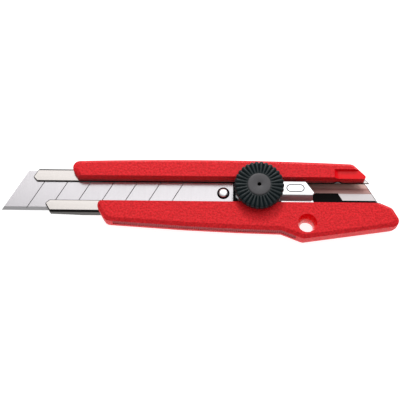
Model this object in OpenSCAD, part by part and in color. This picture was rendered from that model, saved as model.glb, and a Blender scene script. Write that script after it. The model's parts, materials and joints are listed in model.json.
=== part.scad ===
// Heavy-duty 18 mm snap-off knife with a screw-lock slider.
// The knife lies on its flat back: +Z is up through the lock knob, +X runs from the blade tip
// to the tail, and the cutting edge faces -Y. The origin is on the flat back, under the
// blade's centre line and half way between the blade tip and the tail.

/* [Blade] */
// Height of the blade strip
blade_h = 18; // [17.6:0.1:18.2]
// Thickness of the blade strip
blade_t = 0.5; // [0.4:0.05:0.6]
// Length of the blade strip along its cutting edge
blade_len = 99; // [96:1:104]
// Distance from one score line to the next
segment_pitch = 10; // [9.5:0.1:10.2]
// Number of score lines
score_count = 7; // [5:1:8]
// Angle of the score lines and of the tip to the cutting edge
snap_angle = 59.5; // [55:0.5:65]
// Height of the ground bevel
bevel_h = 1.6; // [1:0.1:2.5]
// Diameter of the hole that takes the peg
blade_hole_d = 5.4; // [5:0.1:6]
// Distance of the blade tip from the origin
tip_x = 84.8; // [84:0.1:86]

/* [Sheath] */
// Thickness of the sheet steel
sheet_t = 0.7; // [0.6:0.1:0.8]
// Outside width of the channel
sheath_w = 19.7; // [19.6:0.1:19.9]
// Height of the channel's underside above the flat back
sheath_z = 1.9; // [1.6:0.1:2.2]
// Height of the top of the lips above the flat back
lip_z = 7.2; // [7:0.1:7.4]
// Distance of the upper lip's edge from the centre line
upper_lip_y = 4.1; // [3.9:0.1:4.3]
// Distance of the lower lip's edge from the centre line
lower_lip_y = 4.4; // [4.2:0.1:4.6]
// How much the nose tapers, measured at its tip
nose_rise = 2.5; // [1:0.1:2.5]

/* [Handle] */
// Thickness of the handle from its back to the face of the rails
handle_t = 12; // [11.8:0.1:12.2]
// Distance of the upper rail's inner wall from the centre line
upper_rail_y = 5.1; // [5:0.1:5.4]
// Distance of the lower rail's inner wall from the centre line
lower_rail_y = 6.3; // [6.1:0.1:6.5]
// Chamfer round the face of the rails
face_chamfer = 1.4; // [0.8:0.1:1.8]
// Diameter of the hanging hole
hang_hole_d = 5.8; // [5:0.1:6.2]
// Distance between two teeth of the grip strip
tooth_pitch = 0.9; // [0.8:0.1:1.4]
// Depth of the teeth of the grip strip
tooth_depth = 0.3; // [0.2:0.05:0.4]

/* [Slider] */
// Distance of the clamp stud from the origin
stud_x = 25; // [24:0.5:26]
// Diameter of the clamp stud
stud_d = 4; // [3.5:0.5:4]
// Height of the slider's face above the flat back
slider_top_z = 12.1; // [12.1:0.1:12.3]
// Outside diameter of the lock knob
knob_d = 21.2; // [20:0.1:21.6]
// Height of the knob's face above the flat back
knob_top_z = 16.3; // [16.2:0.1:16.6]
// Number of ridges round the knob
ridge_count = 30; // [24:1:36]

/* [Hidden] */
$fn = 64;
far = 200;
skin = 0.01;
hull_fn = 20;

red = [0.84, 0.17, 0.19];
dark_red = [0.66, 0.14, 0.17];
steel = [0.80, 0.80, 0.81];
chrome = [0.90, 0.90, 0.91];
black = [0.10, 0.11, 0.12];
brass = [0.80, 0.66, 0.35];

// Slants at the ends of the rails, the sheath and the slider follow the snap angle.
slant = 1 / tan(snap_angle);

// Handle outlines, seen from the front.
upper_front_x = -57.5;
upper_outer_y = 13.05;
upper_crown_x = 2;
upper_crown_r = 1550;
upper_rear_x = 65.6;
upper_front_lean = 0.74;
upper_round = 3;
front_corner_r = 2;
rear_corner_r = 0.9;
lower_front_x = -45;
lower_outer_y = -18.85;
lower_crown_x = 59;
lower_crown_r = 1210;
lower_round = 2.8;
ramp_x = 34.5;
hump = [43.5, -22.2];
tail_tip = [85.8, -15.9];
tail_shoulder = [81.6, -8.2];
tail_corner_x = 77.4;
upper_back_round = 1.6;
lower_belly_z = 6.3;
lower_belly_inset = 4.2;
belly_steps = 4;
layer_t = 0.12;
edge_step = 11;
tail_overlap = 8;
ramp_drop = 5;
lower_corner_y = 14.9;
web_y = 8;
web_top_z = lip_z - 1.5;
web_front_x = lower_front_x - (web_y + lower_rail_y) * slant;

// Hanging hole: a straight bore between two countersinks.
hang_hole = [45.3, -15.6];
bore_low_z = 4;
bore_high_z = 7.5;
countersink_d = 8.2;

// Recess for the thumb in the rear end of the upper rail. It is deepest near its front.
scoop_x = 60.2;
scoop_r = 3.4;
scoop_depth = 1.5;
scoop_end_depth = 0.9;
scoop_outer_y = 9;

// Grip strip, let into a rebate along the lower side.
strip_z0 = 6.7;
strip_z1 = handle_t - face_chamfer - 0.1;
strip_x0 = -37;
strip_x1 = 41;
strip_w = 1.3;
strip_gap = 0.02;

// Sheath ends. The nose's two lips end at different places, each with a slant to its corner.
upper_nose_x = -72;
lower_nose_x = -66.3;
nose_taper_x = -43;
nose_len = nose_taper_x - upper_nose_x;
sheath_rear_x = 77.5;
rear_slant_x = 72.4;
sheath_corner_r = 1;
notch_x = 59.4;
notch_w = 4.1;
notch_depth = 1;
upper_nose_slant = 2.3;
upper_nose_under = 1.6;
lower_nose_slant = 1.8;
lower_nose_under = 1.6;
seat_gap = 0.02;
floor_z = sheath_z + sheet_t;
lip_under_z = lip_z - sheet_t;
sheath_in = sheath_w / 2 - sheet_t;

// Liner on the floor of the channel.
liner_t = 0.5;
liner_wide_y = 1.2;
liner_narrow_y = -2.1;
liner_step_x = 60.4;
liner_front_x = -42;

// Sheath rivets.
rivet_xs = [-35, 5, 40];
rivet_y = 5;
rivet_r = 1.2;
rivet_head_r = 2;
rivet_tail_r = 2.2;
rivet_pocket = 0.9;
rivet_tail_z = 0.2;
rivet_tail_gap = 0.2;

// Blade and carriage heights. The clamp is shut: the carriage presses on the lips from below.
blade_z = 5.8;
blade_tail_x = blade_len - tip_x;
peg = [10, -0.5];
peg_r = 2;
peg_foot_r = 1.5;
peg_top_z = 7.4;
base_z = 4.6;
base_top_z = lip_under_z - 0.02;
base_w = 17.2;
base_front_x = 6;
base_step_x = 14.6;
base_rear_x = 47;
tongue_top_z = blade_z;

// Score lines: grooves with a square section, turned to stand on an edge.
score_w = 0.22;

// Leaf spring, held by two rivets and bowed towards the floor of the channel.
spring_fixed_x = 43;
spring_free_x = 29.5;
spring_tab = 1.6;
spring_t = 0.3;
spring_w = 9;
spring_bow = 0.75;
spring_steps = 12;
spring_rivet_y = 3;
spring_rivet_r = 0.8;
spring_rivet_head_r = 1.4;
spring_rivet_head_h = 0.3;

// Slider.
slider_front_x = 15.3;
slider_rear_x = 48.4;
ridge_half_w = 2.85;
ridge_round = 0.25;
flank_half_w = 4;
flank_spread = 0.5;
flank_z = 8;
rear_lean = 0.72;
rear_step = 0.9;
foot_z = lip_z + 0.02;
shoe_z = lip_under_z + 0.06;
boss_r = 4.8;
stud_hole_r = stud_d / 2 + 0.2;
frame_oval = [40.6, 0, 7.8, 3.5];
frame_line = 0.45;
frame_depth = 0.2;

// Stack on the stud, from the slider's face upwards.
washer_t = 0.5;
washer_r = 4.6;
cone_t = 0.3;
cone_h = 0.5;
cone_r = 4.2;
hub_z = slider_top_z + washer_t + cone_h;
nut_top_z = hub_z + 1.8;
nut_r = 4;
clip_z = nut_top_z + 0.5;
clip_t = 0.35;
clip_r = 3.4;
clip_groove = 0.4;
stud_flange = 0.4;
stud_top_z = clip_z + 0.6;
cap_r = 4.95;
cap_z = stud_top_z + 0.05;
cap_top_z = knob_top_z + 0.3;
rim_z = hub_z + 0.6;
dimple_d = 1.6;
hub_r = 6.2;
groove_in_r = 5.5;
ridge_groove = 0.45;
groove_depth = 0.55;
scallop = 0.45;

// Upper edge of the upper rail at a place along the knife.
function upper_edge(x) = upper_outer_y - pow(x - upper_crown_x, 2) / (2 * upper_crown_r);

// Lower edge of the lower rail at a place along the knife.
function lower_edge(x) = lower_outer_y + pow(x - lower_crown_x, 2) / (2 * lower_crown_r);

// Lower edge of the lower rail and of the ramp that follows it.
function grip_edge(x) = x < ramp_x ? lower_edge(x)
    : lower_edge(ramp_x) + (x - ramp_x) * (hump[1] - lower_edge(ramp_x)) / (hump[0] - ramp_x);

// Rectangle with round corners, centred on Y.
module round_bar(w, z0, z1, r) {
    translate([-w / 2 + r, z0])
        square([w - 2 * r, z1 - z0]);
    translate([-w / 2, z0 + r])
        square([w, z1 - z0 - 2 * r]);
    for (y = [-w / 2 + r, w / 2 - r], z = [z0 + r, z1 - r])
        translate([y, z])
            circle(r = r);
}

// Extrudes a shape drawn in Y and Z from one place along the knife to another.
module along(x0, x1)
    translate([x0, 0, 0])
        rotate([90, 0, 90])
            linear_extrude(x1 - x0)
                children();

module slab(z0, z1)
    translate([0, 0, z0])
        linear_extrude(z1 - z0)
            children();

// Outlines of the three convex parts of the handle. Each reaches in under the channel.
module upper_outline()
    polygon(concat(
        [[upper_front_x + upper_edge(upper_front_x) * upper_front_lean, 0],
         [upper_front_x, upper_edge(upper_front_x)]],
        [for (x = [upper_front_x + edge_step : edge_step : upper_rear_x - edge_step / 2])
            [x, upper_edge(x)]],
        [[upper_rear_x, upper_edge(upper_rear_x)],
         [upper_rear_x + upper_edge(upper_rear_x) - upper_rail_y, upper_rail_y],
         [upper_rear_x + upper_edge(upper_rear_x) - upper_rail_y - 2.8, 0]]));

module lower_outline()
    polygon(concat(
        [[lower_front_x - lower_rail_y * slant, 0],
         [lower_front_x + (lower_corner_y - lower_rail_y) * slant, -lower_corner_y]],
        [for (x = [lower_front_x + 1.5 * edge_step : edge_step : hump[0]]) [x, lower_edge(x)]],
        [[hump[0] + tail_overlap, lower_edge(hump[0])], [hump[0] + tail_overlap, 0]]));

module tail_outline()
    polygon([[ramp_x - edge_step, 0], [ramp_x - edge_step, lower_edge(ramp_x) + ramp_drop],
             [ramp_x, lower_edge(ramp_x)], hump, tail_tip, tail_shoulder,
             [tail_shoulder[0] - (tail_shoulder[0] - tail_corner_x) * -tail_shoulder[1] /
              (-tail_shoulder[1] - lower_rail_y), 0]]);

// Flat web that joins the rails under the channel.
module web()
    slab(0, web_top_z)
        polygon([[web_front_x, web_y], [web_front_x + 2 * web_y * slant, -web_y],
                 [sheath_rear_x - 3, -web_y], [sheath_rear_x - 2, -web_y / 2],
                 [rear_slant_x - 2, upper_rail_y], [rear_slant_x - 6, web_y]]);

// Shrinks a flat shape and rounds its outward corners.
module layer(inset, r)
    offset(r = r, $fn = hull_fn)
        offset(delta = -r - inset)
            children();

// A convex block with round corners, a chamfered face and a rounded back.
module moulded_block(r, back_z, back_inset)
    hull() {
        for (i = [0 : belly_steps - 1])
            translate([0, 0, back_z * (1 - cos(90 * i / belly_steps))])
                linear_extrude(layer_t)
                    layer(back_inset * (1 - sin(90 * i / belly_steps)), r)
                        children();
        slab(back_z, handle_t - face_chamfer)
            layer(0, r)
                children();
        slab(handle_t - layer_t, handle_t)
            layer(face_chamfer, r)
                children();
    }

// What rounding takes off an upright corner of a rail, whose sides point in two directions.
module corner_waste(corner, side_1, side_2, r) {
    half = abs(side_2 - side_1) / 2;
    reach = r / tan(half);
    translate([corner[0], corner[1], lip_under_z])
        rotate([0, 0, (side_1 + side_2) / 2])
            linear_extrude(far)
                difference() {
                    polygon([[-r, 0], [reach * cos(half), -reach * sin(half)],
                             [reach * cos(half), reach * sin(half)]]);
                    translate([r / sin(half), 0])
                        circle(r = r + skin);
                }
}

// Band along the lower edge that holds the grip strip.
module grip_band(teeth)
    polygon(concat(
        [for (i = [0 : 2 * floor((strip_x1 - strip_x0) / tooth_pitch)])
            let (x = strip_x0 + i * tooth_pitch / 2)
            [x, grip_edge(x) + strip_gap + (teeth && i % 2 == 1 ? tooth_depth : 0)]],
        [[strip_x1, grip_edge(strip_x1) + strip_w]],
        [[ramp_x - strip_w / 5, grip_edge(ramp_x) + strip_w]],
        [for (x = [ramp_x - edge_step : -edge_step : strip_x0]) [x, grip_edge(x) + strip_w]],
        [[strip_x0, grip_edge(strip_x0) + strip_w]]));

// Plan of the sheath with its slanted ends.
module sheath_plan()
    polygon([[upper_nose_x + upper_nose_slant, sheath_w / 2],
             [upper_nose_x, sheath_w / 2 - upper_nose_slant / slant],
             [upper_nose_x + upper_nose_under, upper_lip_y],
             [lower_nose_x + lower_nose_slant, -lower_lip_y],
             [lower_nose_x, -lower_lip_y - lower_nose_under],
             [lower_nose_x + (sheath_w / 2 - lower_lip_y - lower_nose_under) * slant, -sheath_w / 2],
             [sheath_rear_x, -sheath_w / 2],
             [sheath_rear_x, upper_rail_y - (sheath_rear_x - rear_slant_x) / slant],
             [rear_slant_x, upper_rail_y],
             [rear_slant_x - (sheath_w / 2 - upper_rail_y), sheath_w / 2]]);

// The space that the sheath fills, as a solid with rounded edges, grown by a gap.
module sheath_block(x0, x1, gap)
    along(x0, x1)
        round_bar(sheath_w + 2 * gap, sheath_z - gap, lip_z + gap, sheath_corner_r + gap);

// Wedge under the nose: what the taper takes off the channel.
module nose_wedge(z_shift, w)
    translate([0, w / 2, 0])
        rotate([90, 0, 0])
            linear_extrude(w)
                polygon([[nose_taper_x + 4, -1], [nose_taper_x, sheath_z + z_shift],
                         [upper_nose_x - 4, sheath_z + z_shift + nose_rise * (nose_len + 4) / nose_len],
                         [upper_nose_x - 4, -1]]);

// Countersink or tail of a round hole, from one height and radius to another.
module cone_step(z0, r0, z1, r1)
    translate([0, 0, z0])
        cylinder(h = z1 - z0, r1 = r0, r2 = r1);

// Red moulding: two rails, the tail and the web under the channel.
module handle_body()
    color(red)
    difference() {
        union() {
            moulded_block(upper_round, upper_back_round, upper_back_round) upper_outline();
            moulded_block(lower_round, lower_belly_z, lower_belly_inset) lower_outline();
            moulded_block(lower_round, lower_belly_z, lower_belly_inset) tail_outline();
            web();
        }
        // Seat of the sheath, and the open way between the rails.
        sheath_block(-far, sheath_rear_x, seat_gap);
        translate([-far, -lower_rail_y, lip_z - sheath_corner_r])
            cube([2 * far, lower_rail_y + upper_rail_y, far]);
        // Upright corners where the rails' ends meet their inner walls.
        corner_waste([upper_front_x + (upper_edge(upper_front_x) - upper_rail_y) * upper_front_lean,
                      upper_rail_y], 0, 180 - atan(1 / upper_front_lean), front_corner_r);
        corner_waste([upper_rear_x + upper_edge(upper_rear_x) - upper_rail_y, upper_rail_y],
                     180, 135, rear_corner_r);
        corner_waste([lower_front_x, -lower_rail_y], 0, -snap_angle, front_corner_r);
        // Slanted ends of the web.
        slab(-1, far)
            polygon([[rear_slant_x, upper_rail_y], [far, upper_rail_y], [far, -lower_rail_y],
                     [sheath_rear_x, -lower_rail_y],
                     [sheath_rear_x, upper_rail_y - (sheath_rear_x - rear_slant_x) / slant]]);
        // Hanging hole with its countersinks.
        translate([hang_hole[0], hang_hole[1], 0]) {
            translate([0, 0, -1])
                cylinder(h = far, d = hang_hole_d);
            cone_step(bore_high_z, hang_hole_d / 2, handle_t + skin, countersink_d / 2);
            cone_step(-skin, countersink_d / 2, bore_low_z, hang_hole_d / 2);
        }
        // Thumb scoop in the upper rail.
        translate([0, scoop_outer_y, 0])
            rotate([90, 0, 0])
                linear_extrude(scoop_outer_y) {
                    translate([scoop_x, handle_t - scoop_depth + scoop_r])
                        circle(r = scoop_r);
                    polygon([[scoop_x, handle_t - scoop_depth], [far, handle_t - scoop_end_depth],
                             [far, far], [scoop_x, far]]);
                }
        // Rebate for the grip strip.
        slab(strip_z0, strip_z1)
            grip_band(false);
        slab(strip_z0, strip_z1)
            translate([0, -tooth_depth - strip_gap])
                grip_band(false);
        // Pockets for the rivets' tails.
        for (x = rivet_xs)
            translate([x, rivet_y, -skin]) {
                cylinder(h = sheath_z + 0.1, r = rivet_r);
                cylinder(h = rivet_pocket + skin, r = rivet_tail_r + rivet_tail_gap);
            }
    }

// Soft strip with fine teeth, let into the lower side.
module grip_strip()
    color(dark_red)
    slab(strip_z0, strip_z1)
        grip_band(true);

// Steel channel with folded lips.
module blade_sheath()
    color(steel)
    difference() {
        intersection() {
            union() {
                difference() {
                    sheath_block(upper_nose_x - 1, sheath_rear_x + 1, 0);
                    along(upper_nose_x - 2, sheath_rear_x + 2)
                        round_bar(2 * sheath_in, floor_z, lip_under_z, sheath_corner_r - sheet_t);
                }
                // Floor of the tapered nose.
                intersection() {
                    nose_wedge(sheet_t, 2 * sheath_in + sheet_t);
                    sheath_block(upper_nose_x - 1, nose_taper_x, 0);
                }
            }
            slab(0, far)
                sheath_plan();
        }
        nose_wedge(0, far);
        // Gap between the lips.
        translate([-far, -lower_lip_y, lip_under_z - sheath_corner_r + sheet_t])
            cube([2 * far, lower_lip_y + upper_lip_y, far]);
        // Stop notch in the upper lip.
        slab(lip_under_z - skin, far)
            polygon([[notch_x - notch_w / 2, upper_lip_y - skin],
                     [notch_x + notch_w / 2, upper_lip_y - skin],
                     [notch_x, upper_lip_y + notch_depth]]);
        for (x = rivet_xs)
            translate([x, rivet_y, 0])
                cone_step(sheath_z - skin, rivet_r + skin, floor_z + skin, rivet_head_r + 3 * skin);
    }

// Black nylon strip on which the carriage runs.
module channel_liner()
    color(black)
    slab(floor_z, floor_z + liner_t)
        polygon([[liner_front_x, -sheath_in + 0.3], [liner_front_x, liner_wide_y],
                 [liner_step_x - liner_wide_y * slant, liner_wide_y],
                 [liner_step_x - liner_narrow_y * slant, liner_narrow_y],
                 [sheath_rear_x - 1.6, liner_narrow_y], [sheath_rear_x - 0.3, liner_narrow_y - 2.2],
                 [sheath_rear_x - 0.3, -sheath_in + 0.3]]);

// Countersunk rivets that hold the sheath in the handle.
module sheath_rivets()
    color(steel)
    for (x = rivet_xs)
        translate([x, rivet_y, 0])
            rotate_extrude()
                polygon([[0, rivet_tail_z], [rivet_tail_r - 0.6, rivet_tail_z],
                         [rivet_tail_r, rivet_tail_z + 0.4], [rivet_tail_r, rivet_pocket],
                         [rivet_r, rivet_pocket], [rivet_r, sheath_z], [rivet_head_r, floor_z],
                         [0, floor_z]]);

// Plan of the slider at its face, grown by a margin at its flanks.
module slider_plan(y_up, y_low, grow)
    polygon([[slider_front_x, y_up], [slider_front_x, -y_low / 2],
             [slider_front_x + y_low / 2 * slant, -y_low],
             [slider_rear_x + grow - 0.6, -y_low],
             [slider_rear_x + grow, -y_low + rear_step],
             [slider_rear_x + grow - (y_up + y_low - rear_step) * rear_lean, y_up]]);

// Plated casting that slides on the lips and carries the knob.
module slider_body()
    color(chrome)
    difference() {
        union() {
            hull() {
                slab(slider_top_z - skin, slider_top_z)
                    slider_plan(ridge_half_w, ridge_half_w, 0);
                slab(slider_top_z - ridge_round - 2 * skin, slider_top_z - ridge_round)
                    slider_plan(ridge_half_w + ridge_round, ridge_half_w + ridge_round, ridge_round / 2);
                slab(foot_z, foot_z + skin)
                    slider_plan(flank_half_w, flank_half_w, flank_spread);
            }
            slab(foot_z, flank_z)
                slider_plan(upper_rail_y - 0.2, lower_rail_y - 0.6, 0.2);
            translate([stud_x, 0, foot_z])
                cylinder(h = slider_top_z - foot_z, r = boss_r);
        }
        translate([stud_x, 0, 0])
            cylinder(h = far, r = stud_hole_r);
        // Plain oval frame stamped in the face.
        translate([frame_oval[0], frame_oval[1], slider_top_z - frame_depth])
            difference() {
                oval_bar(frame_oval[2], frame_oval[3], far);
                translate([0, 0, -1])
                    oval_bar(frame_oval[2] - 2 * frame_line, frame_oval[3] - 2 * frame_line, 2 * far);
            }
    }

// Bar with round ends.
module oval_bar(l, w, h) {
    translate([-(l - w) / 2, -w / 2, 0])
        cube([l - w, w, h]);
    for (x = [-(l - w) / 2, (l - w) / 2])
        translate([x, 0, 0])
            cylinder(h = h, d = w);
}

// Black shoe that centres the slider between the lips.
module guide_shoe()
    color(black)
    difference() {
        slab(shoe_z, lip_z - 0.02)
            polygon([[base_step_x + 0.4, upper_lip_y - 0.2], [base_step_x + 0.4, -lower_lip_y + 0.2],
                     [base_rear_x, -lower_lip_y + 0.2], [base_rear_x - 5, upper_lip_y - 0.2]]);
        translate([stud_x, 0, 0])
            cylinder(h = far, r = stud_hole_r);
    }

module ring(z0, z1, r_in, r_out)
    translate([0, 0, z0])
        difference() {
            cylinder(h = z1 - z0, r = r_out);
            translate([0, 0, -1])
                cylinder(h = z1 - z0 + 2, r = r_in);
        }

module plain_washer()
    color(steel)
    translate([stud_x, 0, 0])
        ring(slider_top_z, slider_top_z + washer_t, stud_hole_r, washer_r);

// Coned spring washer between the plain washer and the knob.
module spring_washer()
    color(steel)
    translate([stud_x, 0, slider_top_z + washer_t])
        rotate_extrude()
            polygon([[stud_hole_r, cone_h - cone_t], [cone_r, 0], [cone_r, cone_t],
                     [stud_hole_r, cone_h]]);

// Scalloped outline of the knob.
module knob_outline()
    polygon([for (i = [0 : ridge_count * 8 - 1])
        let (a = 360 * i / (ridge_count * 8),
             r = knob_d / 2 - scallop * (1 - abs(cos(ridge_count * a / 2))))
        [r * cos(a), r * sin(a)]]);

module lock_knob()
    color(black)
    translate([stud_x, 0, 0])
    difference() {
        union() {
            intersection() {
                slab(rim_z, knob_top_z)
                    knob_outline();
                rotate_extrude()
                    polygon([[0, rim_z], [knob_d / 2 - 1.1, rim_z], [knob_d / 2 + 0.1, rim_z + 0.8],
                             [knob_d / 2 + 0.1, knob_top_z - 0.5], [knob_d / 2 - 0.7, knob_top_z],
                             [0, knob_top_z]]);
            }
            cylinder(h = rim_z + 0.5, r = hub_r);
        }
        // Open below the hub, and bored for the nut, the clip and the cap.
        cylinder(h = hub_z, r = far);
        cylinder(h = nut_top_z, r = nut_r);
        cylinder(h = cap_z, r = nut_r - 0.3);
        translate([0, 0, cap_z])
            cylinder(h = far, r = cap_r);
        // Radial grooves between the ridges.
        for (i = [0 : ridge_count - 1])
            rotate([0, 0, 360 * (i + 0.5) / ridge_count])
                translate([groove_in_r, -ridge_groove / 2, knob_top_z - groove_depth])
                    cube([knob_d, ridge_groove, far]);
    }

// Brass nut moulded into the knob.
module knob_nut()
    color(brass)
    translate([stud_x, 0, 0])
        ring(hub_z, nut_top_z, stud_d / 2 + 0.05, nut_r);

// Smooth cap over the end of the stud.
module knob_cap()
    color([0.25, 0.25, 0.26])
    translate([stud_x, 0, 0])
    difference() {
        union() {
            translate([0, 0, cap_z])
                cylinder(h = cap_top_z - 0.2 - cap_z, r = cap_r);
            cone_step(cap_top_z - 0.2, cap_r, cap_top_z, cap_r - 0.3);
        }
        cylinder(h = far, d = dimple_d);
    }

// Steel plate under the lips: it carries the stud, the peg and the blade's tail.
module carriage_base()
    color(steel)
    difference() {
        union() {
            slab(base_z, tongue_top_z)
                base_plan(base_front_x);
            slab(base_z, base_top_z)
                base_plan(base_step_x);
        }
        translate([stud_x, 0, 0])
            cylinder(h = far, d = stud_d);
        translate([peg[0], peg[1], 0])
            cylinder(h = far, r = peg_foot_r);
        for (y = [-spring_rivet_y, spring_rivet_y])
            translate([spring_fixed_x, y, 0])
                cylinder(h = far, r = spring_rivet_r);
    }

module base_plan(x0)
    polygon([[x0, -base_w / 2], [x0, base_w / 2], [base_rear_x - base_w * slant, base_w / 2],
             [base_rear_x, -base_w / 2]]);

// Stud with a flange let into the underside of the carriage, and a groove for the clip.
module clamp_stud()
    color(steel)
    translate([stud_x, 0, 0])
        rotate_extrude()
            polygon([[0, base_z - stud_flange], [stud_d / 2 + 2 * stud_flange, base_z - stud_flange],
                     [stud_d / 2 + 2 * stud_flange, base_z],
                     [stud_d / 2, base_z], [stud_d / 2, clip_z], [stud_d / 2 - clip_groove, clip_z],
                     [stud_d / 2 - clip_groove, clip_z + clip_t], [stud_d / 2, clip_z + clip_t],
                     [stud_d / 2, stud_top_z - 0.2], [stud_d / 2 - 0.2, stud_top_z],
                     [dimple_d / 2, stud_top_z], [0, stud_top_z - 1.4]]);

// Peg that carries the blade.
module blade_peg()
    color(steel)
    translate([peg[0], peg[1], 0])
        rotate_extrude()
            polygon([[0, base_z], [peg_foot_r, base_z], [peg_foot_r, tongue_top_z],
                     [peg_r, tongue_top_z], [peg_r, peg_top_z - 0.3], [peg_r - 0.3, peg_top_z],
                     [0, peg_top_z]]);

// Snap-off blade with its bevel, score lines and hole.
module blade()
    color([0.86, 0.85, 0.86])
    difference() {
        intersection() {
            along(-tip_x, blade_tail_x)
                polygon([[-blade_h / 2, blade_z + blade_t / 2], [-blade_h / 2 + bevel_h, blade_z],
                         [blade_h / 2, blade_z], [blade_h / 2, blade_z + blade_t],
                         [-blade_h / 2 + bevel_h, blade_z + blade_t]]);
            slab(0, far)
                polygon([[-tip_x, -blade_h / 2], [-tip_x + blade_h * slant, blade_h / 2],
                         [blade_tail_x, blade_h / 2], [blade_tail_x, -blade_h / 2]]);
        }
        for (i = [1 : score_count])
            translate([-tip_x + i * segment_pitch, -blade_h / 2, blade_z + blade_t])
                rotate([0, 0, snap_angle])
                    rotate([45, 0, 0])
                        translate([-5, -score_w / 2, -score_w / 2])
                            cube([blade_h / sin(snap_angle) + 10, score_w, score_w]);
        translate([peg[0], peg[1], 0])
            cylinder(h = far, d = blade_hole_d);
    }

// Bowed leaf spring under the carriage. It carries the carriage once the clamp is loose.
module carriage_spring()
    color(steel)
    difference() {
        translate([0, spring_w / 2, 0])
            rotate([90, 0, 0])
                linear_extrude(spring_w)
                    polygon(concat(
                        [for (i = [0 : spring_steps]) [spring_x(i), spring_under(i) + spring_t]],
                        [for (i = [spring_steps : -1 : 0]) [spring_x(i), spring_under(i)]]));
        for (y = [-spring_rivet_y, spring_rivet_y])
            translate([spring_fixed_x, y, 0])
                cylinder(h = far, r = spring_rivet_r);
    }

// Place along the knife, and underside, of each point of the spring's profile.
function spring_x(i) = i == 0 ? spring_fixed_x + spring_tab
    : spring_fixed_x - spring_tab
      - (i - 1) * (spring_fixed_x - spring_tab - spring_free_x) / (spring_steps - 1);
function spring_under(i) = base_z - spring_t
    - (i == 0 ? 0 : spring_bow * sin(180 * (i - 1) / (spring_steps - 1)));

module spring_rivets()
    color(brass)
    for (y = [-spring_rivet_y, spring_rivet_y])
        translate([spring_fixed_x, y, 0])
            rotate_extrude()
                polygon([[0, base_z - spring_t - spring_rivet_head_h],
                         [spring_rivet_head_r - 0.4, base_z - spring_t - spring_rivet_head_h],
                         [spring_rivet_head_r, base_z - spring_t],
                         [spring_rivet_r, base_z - spring_t], [spring_rivet_r, base_top_z],
                         [0, base_top_z]]);

// Open ring in the stud's groove that keeps the knob on.
module retaining_clip()
    color(steel)
    translate([stud_x, 0, 0])
        difference() {
            ring(clip_z + 0.02, clip_z + clip_t - 0.02, stud_d / 2 - 0.35, clip_r);
            translate([0, -stud_d / 2 + 0.6, 0])
                cube([clip_r + 1, stud_d - 1.2, far]);
        }

handle_body();
grip_strip();
blade_sheath();
channel_liner();
sheath_rivets();
slider_body();
guide_shoe();
plain_washer();
spring_washer();
lock_knob();
knob_nut();
knob_cap();
carriage_base();
clamp_stud();
blade_peg();
blade();
carriage_spring();
spring_rivets();
retaining_clip();
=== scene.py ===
"""Visual model of a heavy-duty snap-off knife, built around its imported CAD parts.

The knife lies on its flat back, with the lock wheel up and the blade's tip to the left.
Each piece that is modelled here has its own operator, and one more gives the small fittings
their finishes. They run once each, in the order of BUILD_ORDER.
"""

import functools
import json
import math

import bpy
from mathutils import Matrix, Vector


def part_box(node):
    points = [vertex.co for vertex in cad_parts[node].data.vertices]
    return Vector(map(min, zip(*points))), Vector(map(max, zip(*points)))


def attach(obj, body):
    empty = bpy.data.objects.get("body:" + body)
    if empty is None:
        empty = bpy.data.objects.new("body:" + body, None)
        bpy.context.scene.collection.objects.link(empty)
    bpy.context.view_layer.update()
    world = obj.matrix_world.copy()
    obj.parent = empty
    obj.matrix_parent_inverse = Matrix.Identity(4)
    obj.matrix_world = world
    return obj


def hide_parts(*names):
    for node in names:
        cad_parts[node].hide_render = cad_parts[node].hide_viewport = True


bl_info = {
    "name": "Snap-off Knife",
    "version": (1, 0, 0),
    "blender": (4, 5, 0),
    "location": "View3D > Sidebar > Knife",
    "description": "Builds a screw-lock snap-off knife and its studio, piece by piece",
    "category": "Add Mesh",
}

MM = 0.001
FULL_TURN = 2 * math.pi

# Points closer than this are one point. A CAD part's triangles are joined into one face
# where they lie flat to within FLAT_WITHIN, and edges blunter than SMOOTH_BELOW look round.
JOIN_DISTANCE = 0.002 * MM
FLAT_WITHIN = math.radians(0.6)
SMOOTH_BELOW = math.radians(32)
WHEEL_SMOOTH_BELOW = math.radians(38)
BLADE_SMOOTH_BELOW = math.radians(5)

# Limits for one part of a face's unit normal, which is 1 where the face stands square to
# that axis and 0 where it lies along it. The last one is for Y, and the others are for Z.
FLAT = 0.985
LEVEL = 0.95
SLOPING = 0.5
UPRIGHT = 0.3
FACES_UP = 0.2
SIDEWAYS = 0.7

# Thumb recess of the moulding, as its lowest and highest corner in mm.
RECESS_LOW = (56.0, 5.0, 10.3)
RECESS_HIGH = (74.0, 9.1, 11.6)

# How far the smooth wall of the hanging hole and its countersink reach from its axis, in mm.
HOLE_REACH = 4.3

# Steel channel, in mm: its side walls lie beyond this Y, its lips above the first Z and its
# floor below the second.
WALL_Y = 8.5
LIP_Z = 6.1
FLOOR_BELOW_Z = 4.0

# Painted reflection of the red rail and painted shade on the channel's floor, in mm: where
# the painted band starts and how wide it is. Its colours are given by their share of the way
# to its far side, and the fade is the share over which bare steel turns into the painted band.
REFLECTION_BAND_EDGE_Y = 1.1
REFLECTION_BAND_WIDTH = 5.0
REFLECTION_BAND_FADE = 0.03
REFLECTION_BAND_COLOURS = (
    (0.0, "ADA8A9"),
    (REFLECTION_BAND_FADE, "AC8680"),
    (0.3, "B48A84"),
    (0.42, "A4706A"),
    (0.6, "D4ACA4"),
    (0.85, "C8A89E"),
    (0.97, "867068"),
)

# Blade, in mm: width of its honed bevel, and how far its score lines stay above its
# underside and below its top.
BEVEL_WIDTH = 1.6
SCORE_ABOVE = 0.3
SCORE_BELOW = 0.01

# Blade pin, in mm: its head stands on a thinner foot, under the blade.
PIN_RADIUS = 2.0
PIN_FOOT_RADIUS = 1.5
PIN_FOOT_HEIGHT = 1.2
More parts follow.
